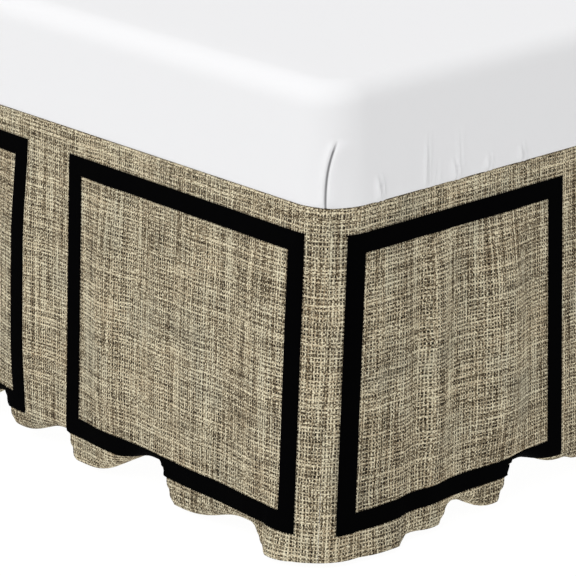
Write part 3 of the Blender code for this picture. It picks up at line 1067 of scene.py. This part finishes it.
# ---------------------------------------------------------------------------------------------
# The fitted sheet. White cotton pulled over the mattress, with a dart sewn at each corner and
# elastic in the edge that is tucked under. It is taut, and creases a little above the elastic.
# ---------------------------------------------------------------------------------------------

SHEET_BOTTOM, SHEET_TOP = BED_LOW.z, BED_HIGH.z
SHEET_CLOTH = 0.0010
SHEET_RIM = RimSteps(corner=0.0013, side_fine=0.0017, end_fine=0.024, coarse=0.030, reach=0.240)
LOWER_EDGE = 0.0015
UPPER_EDGE = 0.026
SHEET_TUCK = 0.070
SIDE_RINGS = 26
TOP_RINGS = 8
TUCK_ROW = 0.03
TOP_MIDDLE = 0.01
TOP_SPREAD = 1.5

# The dart at each foot corner, and the puckers along the elastic. How far they swell the cloth,
# how wide they are and where they fade are in millimetres. The dart's place is in metres. So is
# the dark line down each dart, which is painted shade in its groove: where it starts and ends
# beside the dart, how dark it is, and over how much it runs out below the dart's top.
DART_BULGE = 3.6
DART_LEFT = 6.0
DART_RIGHT = 14.0
DART_GROOVE = 1.7
DART_TOP = 0.071
DART_FADE = 10.0
DART_PAST = 0.006
DART_LEAN = 0.0116
DART_LEAN_HEIGHT = 0.070
DART_CURVE = 2.6
DART_SHADE_SPAN = (0.0004, 0.0018)
DART_SHADE_STRENGTH = 0.75
DART_SHADE_RUN_OUT = 0.012
PUCKER_STEP = 3.1
PUCKER_SHIFT = 1.4
PUCKER_DRIFT = 11
PUCKER_PATCH = 23
PUCKER_PROUD = 0.35
PUCKER_HIGH = 12.0
CALM_BY_EDGE = 7.0
LEAST_BY_EDGE = 0.15

SHEET_WHITE = (0.80, 0.80, 0.81, 1)
SHEET_SHADE = (0.55, 0.55, 0.56, 1)
SHEET_THREAD = 0.0006
# The painted shade down each dart's groove.
DART_PAINTED_SHADE = (0.09, 0.09, 0.095, 1)


def sheet_profile():
    outer = [(SHEET_TUCK, SHEET_BOTTOM), (TUCK_ROW, SHEET_BOTTOM)]
    outer += arc(LOWER_EDGE, SHEET_BOTTOM + LOWER_EDGE, LOWER_EDGE, 270, 180, 3)
    low, high = SHEET_BOTTOM + LOWER_EDGE, SHEET_TOP - UPPER_EDGE
    outer += [(0.0, low + (high - low) * step / SIDE_RINGS) for step in range(1, SIDE_RINGS)]
    outer += arc(UPPER_EDGE, SHEET_TOP - UPPER_EDGE, UPPER_EDGE, 180, 90, 8)
    middle = BED_WIDTH / 2 - TOP_MIDDLE
    outer += [
        (UPPER_EDGE + (middle - UPPER_EDGE) * (step / TOP_RINGS) ** TOP_SPREAD, SHEET_TOP)
        for step in range(1, TOP_RINGS + 1)
    ]
    return outer


# The creases beside each corner of the sheet. past is how far a crease is from the middle of the
# corner, towards the long side. It stands up from the mattress's underside as high as high, and
# leans so far towards the head on the way. The cloth swells beside it as far as proud, and the
# crease's own valley is as wide as width. All are in millimetres.
Crease = namedtuple("Crease", "past high lean width proud")
CREASES = (
    Crease(57, 29, -3, 2.0, 8.0),
    Crease(122, 60, 2, 1.7, 4.0),
    Crease(135, 26, 4, 2.4, 2.0),
    Crease(164, 24, -3, 2.0, 5.5),
    Crease(171, 58, -3, 2.2, 1.8),
    Crease(211, 19, 3, 2.0, 5.0),
    Crease(262, 22, -3, 2.0, 5.5),
)
CREASE_SPREAD = 2.6


def past_corner(spot):
    """How far a spot is from the middle of its nearest corner, towards the long side."""
    quarter = CORNER_RADIUS * pi / 2
    straight = (BED_LENGTH if spot.corner % 2 == 0 else BED_WIDTH) - 2 * CORNER_RADIUS
    walked = spot.turn * quarter - quarter / 2 + spot.run * straight
    left = straight + quarter - walked
    if walked <= left:
        return walked if spot.corner % 2 == 0 else -walked
    return -left if spot.corner % 2 == 1 else left


def dart_place(spot, height):
    """How far a spot is from its corner's dart, and how far up it, in metres."""
    raised = max(0.0, height - SHEET_BOTTOM)
    lean = DART_LEAN * (raised / DART_LEAN_HEIGHT) ** DART_CURVE
    return past_corner(spot) + DART_PAST - lean, raised


def sheet_relief(spot, inset, height):
    """How far out the sheet stands from the mattress's smooth side."""
    if inset > UPPER_EDGE or height <= SHEET_BOTTOM:
        return 0.0
    raised = (height - SHEET_BOTTOM) * 1000
    past = past_corner(spot) * 1000
    total = 0.0
    for crease in CREASES:
        share = raised / crease.high
        if share < 1:
            off = (past - crease.past - crease.lean * share * share) / crease.width
            swollen = exp(-((off / CREASE_SPREAD) ** 2))
            total += crease.proud * (1 - share**3) * swollen * (1 - exp(-off * off))
    dart = dart_place(spot, height)[0] * 1000
    if raised < DART_TOP * 1000:
        fade = min(1.0, (DART_TOP * 1000 - raised) / DART_FADE)
        reach = DART_RIGHT if dart > 0 else DART_LEFT
        bulge = DART_BULGE * exp(-((dart / reach) ** 2))
        groove = exp(-((dart / DART_GROOVE) ** 2))
        total += bulge * (1 - groove) * fade
    drifted = past / PUCKER_STEP + PUCKER_SHIFT * sin(past / PUCKER_DRIFT)
    pucker = max(0.0, sin(drifted) * sin(past / PUCKER_PATCH + 1.0))
    total += PUCKER_PROUD * pucker * exp(-raised / PUCKER_HIGH)
    return total * min(1.0, raised / CALM_BY_EDGE + LEAST_BY_EDGE) / 1000


cotton, tree, shader = new_material("sheet_finish")
flat_place = cloth_place(tree)
threads = add_weave(tree, flat_place, SHEET_THREAD, SHEET_THREAD, width=0.9, uneven=0.3)
shade = work_out(tree, "MULTIPLY", threads["Gap"], 0.12)
white = blend_colours(tree, shade, SHEET_WHITE, SHEET_SHADE)
# Each dart's groove is painted darker: a line of painted shade along the dart, fading out below its
# top.
dart = add_node(tree, "ShaderNodeUVMap", uv_map="dart").outputs["UV"]
dart = add_node(tree, "ShaderNodeSeparateXYZ", {0: dart}).outputs
off_dart = work_out(tree, "ABSOLUTE", dart["X"])
dart_shade = add_node(
    tree, "ShaderNodeMapRange",
    {0: off_dart, 1: DART_SHADE_SPAN[0], 2: DART_SHADE_SPAN[1], 3: DART_SHADE_STRENGTH, 4: 0.0},
    interpolation_type="SMOOTHSTEP",
).outputs[0]
under_top = add_node(
    tree, "ShaderNodeMapRange",
    {0: dart["Y"], 1: DART_TOP - DART_SHADE_RUN_OUT, 2: DART_TOP, 3: 1.0, 4: 0.0},
).outputs[0]
dart_shade = work_out(tree, "MULTIPLY", dart_shade, under_top)
tree.links.new(blend_colours(tree, dart_shade, white, DART_PAINTED_SHADE), shader.inputs["Base Color"])
tree.links.new(add_bump(tree, threads["Height"], 0.0001, 0.5), shader.inputs["Normal"])
shader.inputs["Roughness"].default_value = 0.85
shader.inputs["Specular IOR Level"].default_value = 0.2

bed_sheet = around_the_bed(
    "bed_sheet", sheet_profile(), SHEET_RIM, relief=sheet_relief, dart=dart_place,
    open_below=True,
)
thickness = bed_sheet.modifiers.new("Sheet thickness", "SOLIDIFY")
thickness.thickness = SHEET_CLOTH
thickness.offset = -1.0
bed_sheet.data.materials.append(cotton)
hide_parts("fitted_sheet")
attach(bed_sheet, "root")


# ---------------------------------------------------------------------------------------------
# The studio. A plain white floor, a soft light from above the foot of the bed, an even white
# surround and the camera.
# ---------------------------------------------------------------------------------------------

FLOOR_SIZE = 60.0
FLOOR_WHITE = (0.10, 0.10, 0.10, 1)
FLOOR_GLOW = 0.95
SURROUND = 0.57
KEY_FROM = Vector((0.04, -0.48, 0.88))
KEY_STRENGTH = 1.90
KEY_SPREAD = 60
EYE_FROM_CORNER = Vector((1.92804558, -1.77571932, 1.23287078))
EYE_TURN = (70.66986, 0.20760, 48.20718)
LENS = 174.67

bm = bmesh.new()
bmesh.ops.create_grid(bm, x_segments=8, y_segments=8, size=FLOOR_SIZE / 2)
studio_floor = add_piece("studio_floor", bm)
paper, tree, shader = new_material("floor_finish")
shader.inputs["Base Color"].default_value = FLOOR_WHITE
shader.inputs["Roughness"].default_value = 0.9
shader.inputs["Specular IOR Level"].default_value = 0.0
shader.inputs["Emission Color"].default_value = (1, 1, 1, 1)
shader.inputs["Emission Strength"].default_value = FLOOR_GLOW
studio_floor.data.materials.append(paper)

world = bpy.data.worlds.new("studio_surround")
world.use_nodes = True
world.node_tree.nodes["Background"].inputs["Color"].default_value = (1, 1, 1, 1)
world.node_tree.nodes["Background"].inputs["Strength"].default_value = SURROUND
bpy.context.scene.world = world

key = bpy.data.lights.new("key_light", "SUN")
key.energy = KEY_STRENGTH
key.angle = radians(KEY_SPREAD)
key_light = bpy.data.objects.new("key_light", key)
key_light.rotation_euler = KEY_FROM.to_track_quat("Z", "Y").to_euler()
bpy.context.scene.collection.objects.link(key_light)

camera = bpy.data.cameras.new("camera")
camera.lens = LENS
camera.sensor_width = 36
eye = bpy.data.objects.new("camera", camera)
eye.location = right_foot + EYE_FROM_CORNER
eye.rotation_euler = [radians(angle) for angle in EYE_TURN]
bpy.context.scene.collection.objects.link(eye)
bpy.context.scene.camera = eye
bpy.context.scene.view_settings.view_transform = "Standard"
